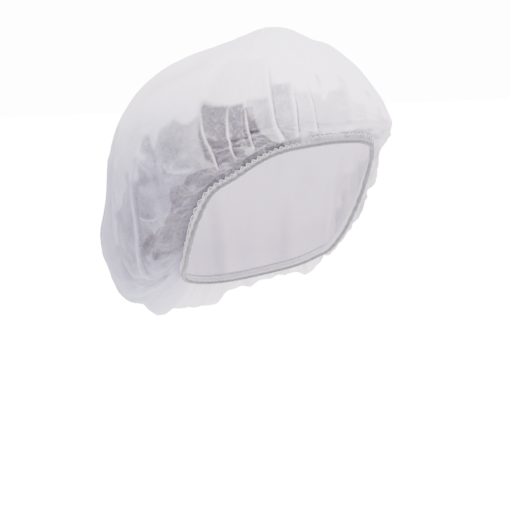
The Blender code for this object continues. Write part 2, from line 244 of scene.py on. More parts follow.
PATCHES = tuple(Patch(*row) for row in (
    (36.5, 48.5, -0.10, 0.565, 0.92, 0.03, 7.0),
    (30.0, 36.5, -0.10, 0.54, 0.88, 0.0, 2.5),
    (26.2, 31.0, -0.10, 0.52, 1.00, 0.0, 2.5, 7.0),
    (18.5, 30.0, -0.10, 0.545, 0.58, 0.0, 4.0),
    (21.0, 46.0, 0.50, 0.72, 0.16),
    (-14.0, 12.0, 0.05, 0.53, 0.36, -0.06),
    (12.0, 20.5, 0.02, 0.61, 0.61, 0.0, 4.0),
    (8.0, 50.0, -0.10, 0.13, 0.70),
    (-60.0, 9.0, -0.10, 0.09, 0.34),
    (42.0, 84.0, -0.10, 0.21, 0.90, -0.06),
    (0.0, 12.0, 0.28, 0.56, 0.35),
    (-1.8, -0.2, 0.58, 0.64, 0.40),
    (76.0, 84.0, 0.05, 0.18, 0.60),
    (97.0, 106.0, 0.16, 0.46, 0.30),
    (44.5, 105.0, 0.00, 0.43, 0.57, -0.28),
    (-104.0, -60.0, -0.10, 0.40, 0.28, 0.10),
    (-75.0, 50.0, 0.00, 0.46, 0.20),
))


def smooth_step(low: float, high: float, value: Array) -> Array:
    """0 below low, 1 above high, and 3t^2 - 2t^3 between them."""
    share = np.clip((value - low) / (high - low), 0.0, 1.0)
    return share * share * (3.0 - 2.0 * share)


def plateau(edges: Edges, value: Array) -> Array:
    """0 outside the first and last of four edges, 1 between the middle two, soft between."""
    start, full, leave, gone = edges
    return smooth_step(start, full, value) * (1.0 - smooth_step(leave, gone, value))


def unit(vectors: Array) -> Array:
    """The same directions, each divided by its length."""
    return vectors / np.linalg.norm(vectors, axis=-1, keepdims=True)


def rows_of(sections: Sequence[Any]) -> Array:
    """The fields of a table of dataclasses as an array, a row for each."""
    return np.array([[getattr(row, f.name) for f in fields(row)] for row in sections], dtype=float)


def round_the_cap(sections: Sequence[Any], turn: Array) -> Array:
    """Values between the sections of a table that goes all the way round.

    Between two sections each value follows the cubic Hermite curve whose slopes are the
    differences of the neighbouring sections.

    Args:
        sections: dataclasses whose first field is the turn, in rising order up to 180.
        turn: where to read the table, in degrees.

    Returns:
        The other fields, along the last axis.
    """
    table = rows_of(sections)
    full_turn = np.zeros(table.shape[1])
    full_turn[0] = 360.0
    table = np.vstack([table[-2:] - full_turn, table, table[:2] + full_turn])
    stations = table[:, 0]
    slopes = np.gradient(table[:, 1:], stations, axis=0)
    turn = 180.0 - (180.0 - np.asarray(turn, dtype=float)) % 360.0
    index = np.clip(np.searchsorted(stations, turn, side="right") - 1, 0, len(stations) - 2)
    span = (stations[index + 1] - stations[index])[..., None]
    t = (turn - stations[index])[..., None] / span
    value = (2 * t**3 - 3 * t**2 + 1) * table[index, 1:] + (t**3 - 2 * t**2 + t) * span * slopes[index]
    value += (3 * t**2 - 2 * t**3) * table[index + 1, 1:] + (t**3 - t**2) * span * slopes[index + 1]
    return value


def lattice_noise(points: Array, pitch: float, seed: int) -> Array:
    """Smooth noise between -1 and 1.

    Each corner of a cubic lattice of that pitch has a value hashed from its whole-number place,
    and a point blends its eight corners with the weights 6t^5 - 15t^4 + 10t^3.

    Args:
        points: places in metres, along the last axis.
        pitch: size of the lattice, in metres.
        seed: which noise.

    Returns:
        One value for each point.
    """
    scaled = points / pitch
    base = np.floor(scaled).astype(np.int64)
    t = scaled - base
    weight = t**3 * (t * (t * 6.0 - 15.0) + 10.0)
    total = np.zeros(points.shape[:-1])
    for corner in product((0, 1), repeat=3):
        place = base + np.array(corner)
        key = (place * np.array([73856093, 19349663, 83492791])).sum(axis=-1) + seed * 26544357
        key = (key ^ (key >> 13)) * 1274126177
        value = ((key ^ (key >> 16)) & 0xFFFF) / 32767.5 - 1.0
        total += value * np.where(np.array(corner) == 1, weight, 1.0 - weight).prod(axis=-1)
    return total


def new_piece(name: str, points: Array, faces: list[Array], material: bpy.types.Material,
              corner_uv: Array | None = None) -> bpy.types.Object:
    """A smooth mesh object at the origin.

    Args:
        name: the piece's name.
        points: its points, N by 3.
        faces: arrays of point numbers, one array for each number of corners.
        material: its finish.
        corner_uv: the UV place of each point, N by 2, which every corner there takes.

    Returns:
        The new object.
    """
    mesh = bpy.data.meshes.new(name)
    corners = np.concatenate([block.ravel() for block in faces])
    totals = np.concatenate([np.full(len(block), block.shape[1]) for block in faces])
    mesh.vertices.add(len(points))
    mesh.vertices.foreach_set("co", points.astype(np.float32).ravel())
    mesh.loops.add(len(corners))
    mesh.loops.foreach_set("vertex_index", corners.astype(np.int32))
    mesh.polygons.add(len(totals))
    mesh.polygons.foreach_set("loop_start", (np.cumsum(totals) - totals).astype(np.int32))
    mesh.polygons.foreach_set("loop_total", totals.astype(np.int32))
    mesh.update(calc_edges=True)
    mesh.validate()
    mesh.shade_smooth()
    if corner_uv is not None:
        layer = mesh.uv_layers.new(name="cloth")
        layer.data.foreach_set("uv", corner_uv[corners].astype(np.float32).ravel())
    mesh.materials.append(material)
    piece = bpy.data.objects.new(name, mesh)
    bpy.context.scene.collection.objects.link(piece)
    return piece


def paint(piece: bpy.types.Object, name: str, values: Array) -> None:
    """Keeps one number for each point of a piece as an attribute for its finish.

    Args:
        piece: the piece.
        name: the attribute's name.
        values: a number for each point.
    """
    attribute = piece.data.attributes.new(name, "FLOAT", "POINT")
    attribute.data.foreach_set("value", values.astype(np.float32).ravel())


def ring_faces(rings: int, columns: int) -> Array:
    """Four-cornered faces between rings of points, the last of which joins the first.

    Args:
        rings: how many rings there are, numbered one after the other.
        columns: points in each ring, which closes on itself.

    Returns:
        Corner numbers, a row for each face, facing outwards where turns rise along a ring and
        the rings go up.
    """
    lower = np.arange(rings * columns).reshape(rings, columns)
    upper = np.roll(lower, -1, axis=0)
    quads = [np.roll(lower, -1, axis=1), lower, upper, np.roll(upper, -1, axis=1)]
    return np.stack(quads, axis=-1).reshape(-1, 4)


def round_piece(name: str, points: Array, along: Array, across: Array, material: bpy.types.Material,
                flipped: bool = False) -> bpy.types.Object:
    """A piece that runs all the way round the hem, closed both ways.

    Args:
        name: the piece's name.
        points: rings of points, rings by columns by 3.
        along: metres along the piece at each column, for its UV map.
        across: metres across it at each ring.
        material: its finish.
        flipped: whether the rings run the other way, so that the faces are turned round.

    Returns:
        The new object.
    """
    rings, columns = points.shape[:2]
    faces = ring_faces(rings, columns)
    uv = np.stack(np.broadcast_arrays(along, across[:, None]), axis=-1).reshape(-1, 2)
    return new_piece(name, points.reshape(-1, 3), [faces[:, ::-1] if flipped else faces], material, uv)


@dataclass
class CapForm:
    """The shape that all the cloth follows: the opening's edge, the bag and its folds."""

    opening_width: float = 0.143
    opening_length: float = 0.152
    opening_drop: float = 0.133
    bag_width: float = 0.214
    bag_length: float = 0.228
    bag_setback: float = 0.026
    crown_height: float = 0.139
    crown_setback: float = 0.004
    crown_shift: float = 0.008
    bag_hang: float = 0.030
    hem_width: float = 0.008
    seam_gap: float = 0.0003
    gather_depth: float = 0.0012
    pleat_height: float = 0.0030
    pleat_width: float = 0.0070
    pleat_lean: float = 0.0016
    pleat_steepness: float = 2.2
    puff_height: float = 0.0060
    pucker_depth: float = 0.00045
    pucker_count: int = 110
    crumple_depth: float = 0.0042
    crumple_pitch: float = 0.020
    crumple_share: float = 0.55
    crumple_stretch: float = 2.2
    fan_depth: float = 0.0020
    fan_pitch: float = 0.010
    fan_stretch: float = 9.0
    fan_reach: float = 0.36
    low_cover: float = 0.0046
    high_cover: float = 0.0074
    belly_rise: float = 0.42
    under_belly: float = 0.55
    free_rise: float = 0.06
    pucker_reach: float = 0.10
    gather_fade: float = 0.3
    turn_step: float = 0.5
    rise_step: float = 0.004
    top_rise: float = 0.99
    fold_taper: float = 0.28
    fold_margin: float = 5.0
    path_legs: int = 10
    soft_power: float = 2.0
    sharp_power: float = 1.2
    # Widths and places of the pleats' painted highlight and shade, and the soft folds' painted shade.
    crest_highlight_width: float = 0.62
    shadow_place: float = 1.15
    shadow_width: float = 0.55
    soft_shade: float = 0.24
    # Edges of the patches of painted shade.
    patch_pitch: float = 0.011
    patch_soft_turn: float = 1.0
    patch_soft_share: float = 0.04
    patch_soft_rise: float = 0.045
    patch_top_crispness: float = 3.0
    patch_wander: float = 0.08
    patch_rise_wander: float = 0.0015
    side_turns: Edges = (42.0, 62.0, 98.0, 116.0)
    behind_turns: Span = (90.0, 120.0)
    slack_rises: Span = (0.36, 0.60)
    least_slack: float = 0.16
    behind_slack: float = 0.22
    side_slack: float = 0.60
    close_slack: float = 0.6
    cover_turns: Span = (50.0, 72.0)
    tube_climb: float = 1.5
    crest_level: float = 0.3
    fan_start: float = 0.03
    fan_share: float = 0.5
    bend_pitch: float = 1.6
    bend_depth: float = 0.6
    calm_front: Edges = (-70.0, -50.0, 0.0, 14.0)
    calm_side: Edges = (58.0, 70.0, 110.0, 130.0)
    slow_wander: float = 2.2
    slow_pitch: float = 0.16
    quick_wander: float = 0.8
    quick_pitch: float = 0.05
    pucker_level: float = 0.75
    level_wander: float = 0.35
    level_pitch: float = 0.07
    front_calm: float = 0.6
    side_calm: float = 0.5
    crowding: float = 0.40
    crowded_turn: float = 25.0

    def ring_point(self, turn: Array, out: Array, width: float, length: float, up: Array) -> Array:
        """Points on a level oval, at (-out w/2 sin, -out l/2 cos, up).

        Args:
            turn: degrees round the cap.
            out: share of the oval's reach.
            width: the oval's width, w.
            length: its length, l.
            up: height of the points.

        Returns:
            Points, along the last axis.
        """
        angle = np.radians(turn)
        across = -out * width / 2.0 * np.sin(angle)
        along = -out * length / 2.0 * np.cos(angle)
        return np.stack([across, along, up + 0.0 * across], axis=-1)

    def opening_edge(self, turn: Array) -> Array:
        """The lower edge of the hem at each turn."""
        out, up, _ = np.moveaxis(round_the_cap(OPENING_SECTIONS, turn), -1, 0)
        height = up * self.opening_drop / 2.0
        return self.ring_point(turn, out, self.opening_width, self.opening_length, height)

    def hem_frame(self, turn: Array) -> tuple[Array, Array, Array]:
        """The hem's own directions.

        The outward direction is level and square to the edge, tipped up by the table's lean, and
        the strip runs along the cross product of the edge's direction with it.

        Args:
            turn: degrees round the cap.

        Returns:
            The edge point, the strip's outward direction and the direction up the strip.
        """
        step = self.turn_step
        along = unit(self.opening_edge(turn + step) - self.opening_edge(turn - step))
        lean = round_the_cap(OPENING_SECTIONS, turn)[..., 2]
        outward = unit(np.stack([-along[..., 1], along[..., 0], 0.0 * lean], axis=-1))
        outward[..., 2] += lean
        outward = unit(outward - along * np.sum(outward * along, axis=-1, keepdims=True))
        return self.opening_edge(turn), outward, np.cross(along, outward)

    def bag(self, turn: Array, rise: Array) -> Array:
        """The smooth bag without its folds.

        Up to the belly it is the cubic Bezier curve of seam, skirt, under-belly and belly. Above
        that a share cos(a)^s of the belly's reach and sin(a)^s of the height to the crown, where
        s is the section's shoulder and a goes from 0 to a right angle.

        Args:
            turn: degrees round the cap.
            rise: 0 at the seam, 1 at the middle of the crown.

        Returns:
            Points, along the last axis.
        """
        turn, rise = np.broadcast_arrays(np.asarray(turn, dtype=float), np.asarray(rise, dtype=float))
        section = np.moveaxis(round_the_cap(BAG_SECTIONS, turn), -1, 0)
        belly_out, belly_up, skirt_out, skirt_drop, shoulder = section
        edge, _, strip = self.hem_frame(turn)
        seam = edge + strip * (self.hem_width + self.seam_gap)
        setback = np.array([0.0, self.bag_setback, 0.0])
        belly = setback + self.ring_point(turn, belly_out, self.bag_width, self.bag_length,
                                          belly_up * self.crown_height)
        skirt = setback + self.ring_point(turn, skirt_out, self.bag_width, self.bag_length,
                                          seam[..., 2] - skirt_drop * self.bag_hang)
        under_belly = belly.copy()
        under_belly[..., 2] += self.under_belly * (skirt[..., 2] - belly[..., 2])
        t = np.clip(rise / self.belly_rise, 0.0, 1.0)[..., None]
        lower = (1 - t) ** 3 * seam + 3 * (1 - t) ** 2 * t * skirt
        lower = lower + 3 * (1 - t) * t**2 * under_belly + t**3 * belly
        angle = np.clip((rise - self.belly_rise) / (1.0 - self.belly_rise), 0.0, 1.0) * np.pi / 2.0
        inward = np.cos(angle).clip(0.0, 1.0) ** shoulder
        upward = np.sin(angle) ** shoulder
        top = np.array([self.crown_shift, self.crown_setback, self.crown_height])
        upper = top + (belly - top) * np.stack([inward, inward, 1.0 - upward], axis=-1)
        return np.where((rise < self.belly_rise)[..., None], lower, upper)

    def outward(self, turn: Array, rise: Array) -> Array:
        """Outward directions of the smooth bag: the cross product of small steps on it.

        Args:
            turn: degrees round the cap.
            rise: 0 at the seam, 1 at the middle of the crown.

        Returns:
            Directions, along the last axis.
        """
        middle = np.clip(rise, self.rise_step, self.top_rise)
        along = self.bag(turn + self.turn_step, middle) - self.bag(turn - self.turn_step, middle)
        climb = self.bag(turn, middle + self.rise_step) - self.bag(turn, middle - self.rise_step)
        return unit(np.cross(climb, along))

    def gathers(self, turn: Array, rise: Array) -> Array:
        """Soft gathers: cosines round the hem, each fading out over its own reach.

        Args:
            turn: degrees round the cap.
            rise: 0 at the seam, 1 at the middle of the crown.

        Returns:
            How far they stand out, in metres.
        """
        total = np.zeros(np.broadcast(turn, rise).shape)
        for wave in GATHERS:
            fade = 1.0 - smooth_step(self.gather_fade * wave.reach, wave.reach, rise)
            total += wave.depth * np.cos(np.radians(turn * wave.count + wave.phase)) * fade
        return total * self.gather_depth

    def to_path(self, spots: Array, path: Array) -> tuple[Array, Array, Array, Array]:
        """Where each spot lies beside a path of straight legs.

        Args:
            spots: places, N by 3.
            path: the ends of the legs.

        Returns:
            The distance to the path, the share of it passed at the nearest place, its direction
            there and the step from it to the spot.
        """
        nearest = np.full(len(spots), np.inf)
        place = np.zeros(len(spots))
        heading = np.zeros(spots.shape)
        offset = np.zeros(spots.shape)
        for leg in range(self.path_legs):
            run = path[leg + 1] - path[leg]
            t = np.clip(((spots - path[leg]) @ run) / (run @ run), 0.0, 1.0)
            step = spots - path[leg] - t[:, None] * run
            away = np.linalg.norm(step, axis=-1)
            closer = away < nearest
            place = np.where(closer, (leg + t) / self.path_legs, place)
            heading = np.where(closer[:, None], run / np.linalg.norm(run), heading)
            offset = np.where(closer[:, None], step, offset)
            nearest = np.minimum(nearest, away)
        return nearest, place, heading, offset

    def fold_relief(self, points: Array, normals: Array) -> tuple[Array, Array, Array]:
        """Height of the folds, how far their crests lean sideways, and their painted shade and highlight.

        A fold is a profile of the distance to its path: exp(-d^2) where it is soft, and
        exp(-d^1.2) where it is a pleat. A pleat is steeper on the side that it leans to, and the
        cloth under it there gets painted shade, while its crest gets painted highlight. A soft
        fold gets painted highlight where it stands up and painted shade where it sinks.

        Args:
            points: places on the smooth bag.
            normals: outward directions there.

        Returns:
            Heights, sideways moves as vectors, and painted shading from -1 for a highlight to 1 for
            shade.
        """
        height = np.zeros(points.shape[:-1])
        sideways = np.zeros(points.shape)
        shading = np.zeros(points.shape[:-1])
        share = np.linspace(0.0, 1.0, self.path_legs + 1)
        for fold in FOLDS:
            turn = fold.from_turn + (fold.to_turn - fold.from_turn) * share
            rise = fold.from_rise + (fold.to_rise - fold.from_rise) * share
            path = self.bag(turn + fold.bow * np.sin(np.pi * share), rise)
            reach = fold.width * self.pleat_width / 2.0
            middle = path.mean(axis=0)
            limit = np.linalg.norm(path - middle, axis=-1).max() + self.fold_margin * reach
            near = np.linalg.norm(points - middle, axis=-1) < limit
            nearest, place, heading, offset = self.to_path(points[near], path)
            taper = plateau((0.0, self.fold_taper, 1.0 - self.fold_taper, 1.0), place)
            if fold.kind is FoldKind.SOFT:
                profile = fold.height * taper * np.exp(-((nearest / reach) ** self.soft_power))
                # Painted highlight where a soft fold stands up, painted shade where it sinks.
                shading[near] -= self.soft_shade * profile
            else:
                side = np.cross(heading, normals[near])
                apart = np.sum(side * offset, axis=-1) / reach
                nearest = nearest * np.where(apart > 0.0, self.pleat_steepness, 1.0)
                profile = fold.height * taper * np.exp(-((nearest / reach) ** self.sharp_power))
                # Painted shade beside the pleat and painted highlight on its crest.
                shadow = np.exp(-(((apart - self.shadow_place) / self.shadow_width) ** 2))
                shading[near] += taper * (shadow - np.exp(-((apart / self.crest_highlight_width) ** 2)))
                sideways[near] += side * (profile * self.pleat_lean)[:, None]
            height[near] += profile
        return height * self.pleat_height, sideways, np.clip(shading, -1.0, 1.0)

    def puffs(self, points: Array) -> Array:
        """Wide puffs and hollows: exp(-(distance / spread)^2) round each middle.

        Args:
            points: places on the smooth bag.

        Returns:
            How far they stand out, in metres.
        """
        total = np.zeros(points.shape[:-1])
        for puff in PUFFS:
            away = np.linalg.norm(points - self.bag(puff.turn, puff.rise), axis=-1)
            total += puff.height * np.exp(-((away / (puff.spread * self.bag_width)) ** 2))
        return total * self.puff_height

    def shade_patches(self, turn: Array, rise: Array, points: Array) -> Array:
        """How dark the patches of painted shade are: each is a box in turn and rise with wandering edges.

        Args:
            turn: degrees round the cap.
            rise: 0 at the seam, 1 at the middle of the crown.
            points: the places on the smooth bag.

        Returns:
            0 outside the patches and up to 1 where their painted shade is darkest.
        """
        wander = lattice_noise(points, self.patch_pitch, 41)
        soft_rise = self.patch_soft_rise
        crisp_rise = soft_rise / self.patch_top_crispness
        total = np.zeros(points.shape[:-1])
        for patch in PATCHES:
            width = patch.to_turn - patch.from_turn
            soft_turn = self.patch_soft_turn + self.patch_soft_share * width
            lowness = (1.0 - rise / patch.to_rise).clip(0.0, 1.0)
            moved_turn = turn + self.patch_wander * width * wander + patch.lean * lowness
            spread_turn = moved_turn + patch.spread * lowness
            tilted = patch.tilt * ((turn - patch.from_turn) / width - 0.5).clip(-0.5, 0.5)
            moved_rise = rise - tilted + self.patch_rise_wander * width * wander
            share = smooth_step(patch.from_turn - soft_turn, patch.from_turn + soft_turn, spread_turn)
            share *= 1.0 - smooth_step(patch.to_turn - soft_turn, patch.to_turn + soft_turn, moved_turn)
            share *= plateau((patch.from_rise - soft_rise, patch.from_rise + soft_rise,
                              patch.to_rise - crisp_rise, patch.to_rise + crisp_rise), moved_rise)
            total = np.maximum(total, patch.depth * share)
        return total

    def slackness(self, turn: Array, rise: Array, points: Array) -> Array:
        """How crumpled the cloth is: most at the sides and in the patches of painted shade, some
        elsewhere.

        Args:
            turn: degrees round the cap.
            rise: 0 at the seam, 1 at the middle of the crown.
            points: the places on the smooth bag.

        Returns:
            Share of the crumples' full depth.
        """
        low = 1.0 - smooth_step(*self.slack_rises, rise)
        sides = self.side_slack * plateau(self.side_turns, np.abs(turn)) * low
        behind = self.behind_slack * smooth_step(*self.behind_turns, np.abs(turn)) * low
        close = self.close_slack * self.shade_patches(turn, rise, points)
        return np.maximum(self.least_slack + behind + sides, close)

    def cover(self, turn: Array) -> Array:
        """How far up the hem the bag starts: low at the front and higher at the sides."""
        share = smooth_step(*self.cover_turns, np.abs(turn))
        return self.low_cover + (self.high_cover - self.low_cover) * share

    def tube(self, turn: Array, rise: Array, stretch: float) -> Array:
        """Places on a tube as wide as the bag, from which the cloth's noises are read.

        Args:
            turn: degrees round the cap.
            rise: 0 at the seam, 1 at the middle of the crown.
            stretch: how much less a rise counts for than its length.

        Returns:
            Places in metres, along the last axis.
        """
        angle = np.radians(turn)
        radius = self.bag_width / 2.0
        climb = rise * self.bag_length * self.tube_climb / stretch
        return np.stack([radius * np.cos(angle), radius * np.sin(angle), climb], axis=-1)

    def fan(self, turn: Array, rise: Array) -> Array:
        """Fine gathers that fan out from the hem: noise folded at zero and drawn out upwards.

        Args:
            turn: degrees round the cap.
            rise: 0 at the seam, 1 at the middle of the crown.

        Returns:
            Above 0 on their crests and below 0 in their hollows.
        """
        places = self.tube(turn, rise, self.fan_stretch)
        coarse = self.crest_level - np.abs(lattice_noise(places, self.fan_pitch, 51))
        fine = self.crest_level - np.abs(lattice_noise(places, self.fan_pitch / 2.0, 52))
        wander = lattice_noise(places, 3.0 * self.fan_pitch, 53)
        reach = self.fan_reach * (1.0 + self.fan_share * wander)
        fade = 1.0 - smooth_step(0.0, 1.0, (rise - self.fan_start) / reach)
        return (coarse + self.fan_share * fine) * fade

    def crumples(self, turn: Array, rise: Array) -> Array:
        """Crumples: three octaves of noise folded at zero, so that they have sharp crests.

        The noise is read on a tube as wide as the bag, where a rise counts for less than its
        length, so that the crumples run up from the hem.

        Args:
            turn: degrees round the cap.
            rise: 0 at the seam, 1 at the middle of the crown.

        Returns:
            0.5 on the crests and down to about -1 in the deepest hollows.
        """
        places = self.tube(turn, rise, self.crumple_stretch)
        pitch = self.bend_pitch * self.crumple_pitch
        bend = np.stack([lattice_noise(places, pitch, 31 + k) for k in range(3)], axis=-1)
        places += bend * self.bend_depth * self.crumple_pitch
        total = np.zeros(places.shape[:-1])
        for octave in range(3):
            noise = lattice_noise(places, self.crumple_pitch * 0.5**octave, 7 + octave)
            total += self.crumple_share**octave * (self.crest_level - np.abs(noise))
        return total

    def circle(self, turn: Array) -> Array:
        """Places on a circle of 1 m, from which the noises along the hem are read."""
        angle = np.radians(turn)
        return np.stack([np.cos(angle), np.sin(angle), 0.0 * angle], axis=-1)

    def pucker(self, turn: Array) -> Array:
        """The fine gathers of the hem: a cosine whose pitch and depth wander a little.

        Args:
            turn: degrees round the cap.

        Returns:
            How far they stand out, in metres.
        """
        circle = self.circle(turn)
        wander = self.slow_wander * lattice_noise(circle, self.slow_pitch, 3)
        wander += self.quick_wander * lattice_noise(circle, self.quick_pitch, 5)
        depth = self.pucker_level + self.level_wander * lattice_noise(circle, self.level_pitch, 11)
        calm = 1.0 - self.front_calm * plateau(self.calm_front, turn)
        calm *= 1.0 - self.side_calm * plateau(self.calm_side, turn)
        wave = np.cos(self.pucker_count * np.radians(turn) + wander)
        return self.pucker_depth * depth * calm * wave

    def cloth(self, turn: Array, rise: Array) -> Array:
        """The face of the bag with its gathers, folds, puffs, crumples and the hem's puckers.

        Args:
            turn: degrees round the cap.
            rise: 0 at the seam, 1 at the middle of the crown.

        Returns:
            Points, along the last axis.
        """
        turn, rise = np.broadcast_arrays(np.asarray(turn, dtype=float), np.asarray(rise, dtype=float))
        smooth = self.bag(turn, rise)
        normals = self.outward(turn, rise)
        height, sideways, _ = self.fold_relief(smooth, normals)
        crumples = self.crumples(turn, rise) * self.slackness(turn, rise, smooth)
        relief = self.gathers(turn, rise) + height + self.puffs(smooth) + crumples * self.crumple_depth
        relief += self.fan(turn, rise) * self.fan_depth
        free = smooth_step(0.0, self.free_rise, rise)[..., None]
        outward = self.hem_frame(turn)[1]
        near_hem = 1.0 - smooth_step(0.0, self.pucker_reach, rise)
        pucker = outward * (self.pucker(turn) * near_hem)[..., None]
        return smooth + free * (normals * relief[..., None] + sideways) + pucker

    def column_turns(self, columns: int) -> Array:
        """Turns of the columns of points, closer together at the front pleats.

        Args:
            columns: how many there are all the way round.

        Returns:
            Degrees round the cap, over -180 and up to 180.
        """
        even = np.arange(columns) * 360.0 / columns
        turns = even - np.degrees(self.crowding * np.sin(np.radians(even - self.crowded_turn)))
        return 180.0 - (180.0 - turns) % 360.0

    def loop_length(self) -> float:
        """Length of the opening's edge, all the way round."""
        edge = self.opening_edge(np.arange(0.0, 360.0, self.turn_step))
        return float(np.linalg.norm(np.roll(edge, -1, axis=0) - edge, axis=-1).sum())


class Socket:
    """A shader socket with the arithmetic that the finishes use."""

    def __init__(self, tree: "ShaderTree", socket: bpy.types.NodeSocket) -> None:
        """Wraps a socket of a tree."""
        self.tree = tree
        self.socket = socket

    def _math(self, operation: str, *values: Any) -> "Socket":
        """The result of a Math node of these values."""
        node = self.tree.node("ShaderNodeMath", {"operation": operation}, dict(enumerate(values)))
        return self.tree.out(node, 0)

    def __add__(self, other: Any) -> "Socket":
        """This value and another."""
        return self._math("ADD", self, other)

    __radd__ = __add__

    def __sub__(self, other: Any) -> "Socket":
        """This value less another."""
        return self._math("SUBTRACT", self, other)

    def __rsub__(self, other: Any) -> "Socket":
        """Another value less this one."""
        return self._math("SUBTRACT", other, self)

    def __mul__(self, other: Any) -> "Socket":
        """This value times another."""
        return self._math("MULTIPLY", self, other)

    __rmul__ = __mul__

    def clamped(self) -> "Socket":
        """This value kept between 0 and 1."""
        return self.tree.out(self.tree.node("ShaderNodeClamp", {}, {"Value": self}), 0)

    def above(self, low: float, high: float) -> "Socket":
        """0 where this value is under low, 1 over high and a soft rise between.

        Args:
            low: where the rise starts.
            high: where it ends.

        Returns:
            The new value.
        """
        values = {"Value": self, "From Min": low, "From Max": high}
        node = self.tree.node("ShaderNodeMapRange", {"interpolation_type": "SMOOTHSTEP"}, values)
        return self.tree.out(node, 0)


class ShaderTree:
    """The nodes of a material or of the world."""

    def __init__(self, owner: bpy.types.Material | bpy.types.World) -> None:
        """Clears the owner's nodes, so that all of them are made here."""
        self.owner = owner
        owner.use_nodes = True
        owner.node_tree.nodes.clear()

    def node(self, kind: str, settings: dict[str, Any], values: dict[Any, Any]) -> bpy.types.Node:
        """Makes a node.

        Args:
            kind: the node's type.
            settings: its own settings, which are set first.
            values: what its input sockets hold, by name or number: a number, a colour or a link.

        Returns:
            The node.
        """
        made = self.owner.node_tree.nodes.new(kind)
        for key, setting in settings.items():
            setattr(made, key, setting)
        for key, value in values.items():
            if isinstance(value, Socket):
                self.owner.node_tree.links.new(value.socket, made.inputs[key])
            else:
                made.inputs[key].default_value = value
        return made

    def out(self, made: bpy.types.Node, output: Any) -> Socket:
        """An output of a node, by name or number."""
        return Socket(self, made.outputs[output])

    def place(self) -> Socket:
        """The place on the object, in metres."""
        return self.out(self.node("ShaderNodeTexCoord", {}, {}), "Object")

    def painted(self, name: str) -> Socket:
        """A number that the mesh keeps at its points."""
        return self.out(self.node("ShaderNodeAttribute", {"attribute_name": name}, {}), "Fac")

    def noise(self, place: Socket, pitch: float, detail: float = 2.0, roughness: float = 0.5) -> Socket:
        """Noise between 0 and 1.

        Args:
            place: where it is read.
            pitch: the size of its coarsest waves, in metres.
            detail: how many finer waves it has.
            roughness: how strong they are.

        Returns:
            The noise.
        """
        values = {"Vector": place, "Scale": 1.0 / pitch, "Detail": detail, "Roughness": roughness}
        return self.out(self.node("ShaderNodeTexNoise", {}, values), 0)

    def creases(self, place: Socket, pitch: float) -> Socket:
        """Noise of that pitch with sharp bright ridges, bent about, like creases in thin cloth."""
        values = {"Vector": place, "Scale": 1.0 / pitch, "Detail": 3.0, "Roughness": 0.55,
                  "Offset": 0.9, "Gain": 1.2, "Distortion": 0.9}
        return self.out(self.node("ShaderNodeTexNoise", {"noise_type": "RIDGED_MULTIFRACTAL"}, values), 0)

    def waves(self, direction: str, values: dict[str, Any]) -> Socket:
        """Bands that run square to a direction of the piece's own UV map, in metres.

        Args:
            direction: X, Y or DIAGONAL.
            values: the bands' scale, distortion and detail.

        Returns:
            The bands, between 0 and 1.
        """
        uv = self.out(self.node("ShaderNodeUVMap", {"uv_map": "cloth"}, {}), 0)
        bands = self.node("ShaderNodeTexWave", {"bands_direction": direction}, {"Vector": uv, **values})
        return self.out(bands, "Fac")

    def mix(self, share: Any, first: Any, second: Any) -> Socket:
        """A colour that is that share of the way from the first to the second.

        Args:
            share: 0 to 1.
            first: a colour or a link.
            second: another.

        Returns:
            The colour.
        """
        first, second = ((*c, 1.0) if isinstance(c, tuple) else c for c in (first, second))
        values = {0: share, 6: first, 7: second}
        return self.out(self.node("ShaderNodeMix", {"data_type": "RGBA"}, values), 2)

    def bump(self, height: Socket, distance: float) -> Socket:
        """A normal tipped by a height that is worth that distance in metres."""
        values = {"Height": height, "Distance": distance, "Strength": 1.0}
        return self.out(self.node("ShaderNodeBump", {}, values), 0)

    def principled(self, colour: Socket, roughness: float, values: dict[str, Any]) -> Socket:
        """A surface that is no metal.

        Args:
            colour: its base colour.
            roughness: its roughness.
            values: what its other sockets hold.

        Returns:
            The shader.
        """
        made = self.node("ShaderNodeBsdfPrincipled", {}, {
            "Base Color": colour, "Roughness": roughness, "Metallic": 0.0, **values})
        return self.out(made, 0)

    def finish(self, surface: Socket) -> bpy.types.Material:
        """Connects the surface to the material's output."""
        self.node("ShaderNodeOutputMaterial", {}, {"Surface": surface})
        return self.owner


